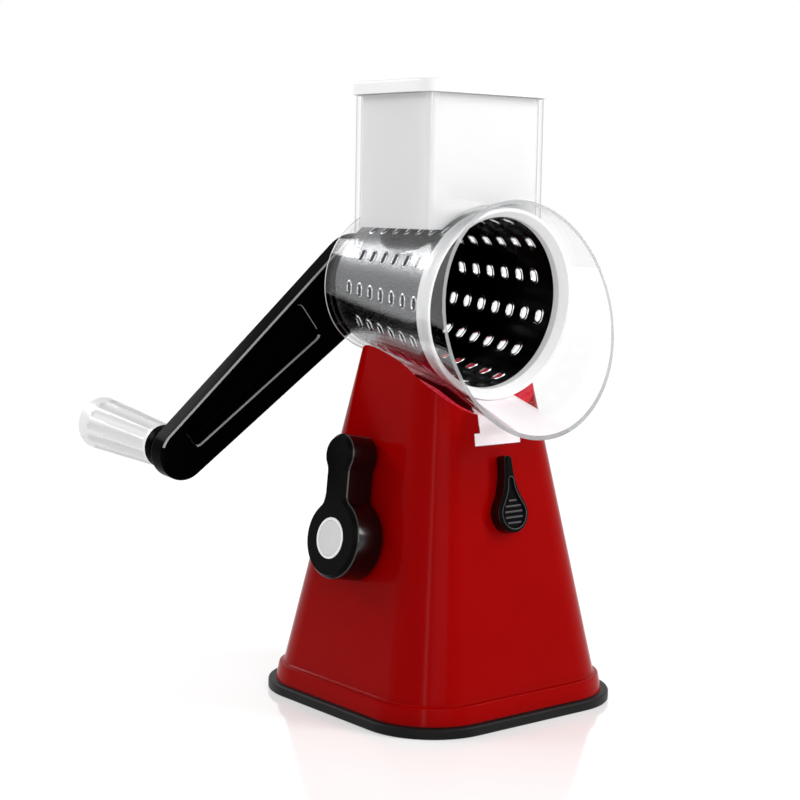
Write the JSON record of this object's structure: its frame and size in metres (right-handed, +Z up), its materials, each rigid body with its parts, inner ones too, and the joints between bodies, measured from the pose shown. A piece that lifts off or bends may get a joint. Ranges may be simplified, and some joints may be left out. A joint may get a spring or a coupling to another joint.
{
  "type": "rotary food shredder",
  "caption": "Hand-cranked rotary drum shredder with a square hopper, clear drum housing, tapered tower and suction foot.",
  "frame": {"origin": "centre of the square suction foot, on the table", "axes": "+Z up; -Y the way the discharge horn points; +Y the crank's side; -X the suction lever's side"},
  "size_m": [0.1773, 0.2201, 0.2839],
  "materials": {
    "red_gloss_plastic": "gloss",
    "black_gloss_plastic": "gloss",
    "black_plastic": "satin",
    "black_rubber": "matte",
    "clear_plastic": "clear",
    "white_plastic": "satin",
    "frosted_plastic": "translucent",
    "grey_plastic": "satin",
    "drum_steel": "bright stamped",
    "plain_steel": "satin",
    "nylon": "satin"
  },
  "bodies": {
    "tower": {"tower_shell": "red_gloss_plastic", "suction_pad": "black_rubber", "base_plate": "black_plastic", "base_screws": "plain_steel", "stem_guide": "black_plastic", "guide_screws": "plain_steel", "shaft_bush": "nylon"},
    "stem": {"suction_stem": "plain_steel", "lift_yoke": "nylon", "lift_plate": "plain_steel", "pad_centre": "black_rubber", "pad_membrane": "black_rubber", "stem_spring": "plain_steel"},
    "lever": {"suction_lever": "black_gloss_plastic", "lever_cap": "grey_plastic", "lever_ring": "white_plastic", "lever_screw": "plain_steel", "cam_shaft": "plain_steel", "lift_cam": "nylon", "cam_screw": "plain_steel"},
    "catch": {"release_button": "black_gloss_plastic", "catch_slider": "black_plastic", "catch_screw": "plain_steel"},
    "housing": {"drum_housing": "clear_plastic", "rear_bush": "nylon"},
    "crank": {"crank_arm": "black_gloss_plastic", "drive_shaft": "plain_steel", "crank_screw": "plain_steel", "grip_axle": "plain_steel", "grip_collar": "black_plastic", "grip_screw": "plain_steel"},
    "grip": {"crank_grip": "white_plastic", "grip_cap": "white_plastic"},
    "drum": {"drum_shell": "drum_steel", "drum_front_ring": "white_plastic", "drum_hub": "black_plastic"},
    "pusher": {"pusher_body": "frosted_plastic", "pusher_lid": "white_plastic"}
  },
  "joints": [
    {"name": "housing_slide", "type": "slide", "parent": "tower", "child": "housing", "axis": [0, -1, 0], "range_m": [0, 0.021]},
    {"name": "catch_slide", "type": "slide", "parent": "tower", "child": "catch", "axis": [0, 0.1818, 0.9833], "range_m": [0, 0.004]},
    {"name": "suction_lever_turn", "type": "hinge", "parent": "tower", "child": "lever", "pos_m": [-0.04715, 0, 0.0767], "axis": [0.9833, 0, -0.1818], "range_deg": [0, 90]},
    {"name": "stem_lift", "type": "slide", "parent": "tower", "child": "stem", "axis": [0, 0, 1], "range_m": [0, 0.00458], "deforming": ["stem_spring", "pad_membrane"]},
    {"name": "crank_turn", "type": "hinge", "parent": "housing", "child": "crank", "pos_m": [0, 0, 0.1882], "axis": [0, -0.9968, -0.0802], "continuous": true},
    {"name": "grip_spin", "type": "hinge", "parent": "crank", "child": "grip", "pos_m": [-0.09732, 0.10622, 0.11488], "axis": [0, -0.9968, -0.0802], "continuous": true},
    {"name": "drum_pull", "type": "slide", "parent": "crank", "child": "drum", "axis": [0, -0.9968, -0.0802], "range_m": [0, 0.09]},
    {"name": "pusher_lift", "type": "slide", "parent": "housing", "child": "pusher", "axis": [0, 0, 1], "range_m": [0, 0.075]}
  ],
  "couplings": [
    {"joint": "suction_lever_turn", "follows": "stem_lift", "rad_per_m": 343.25}
  ]
}
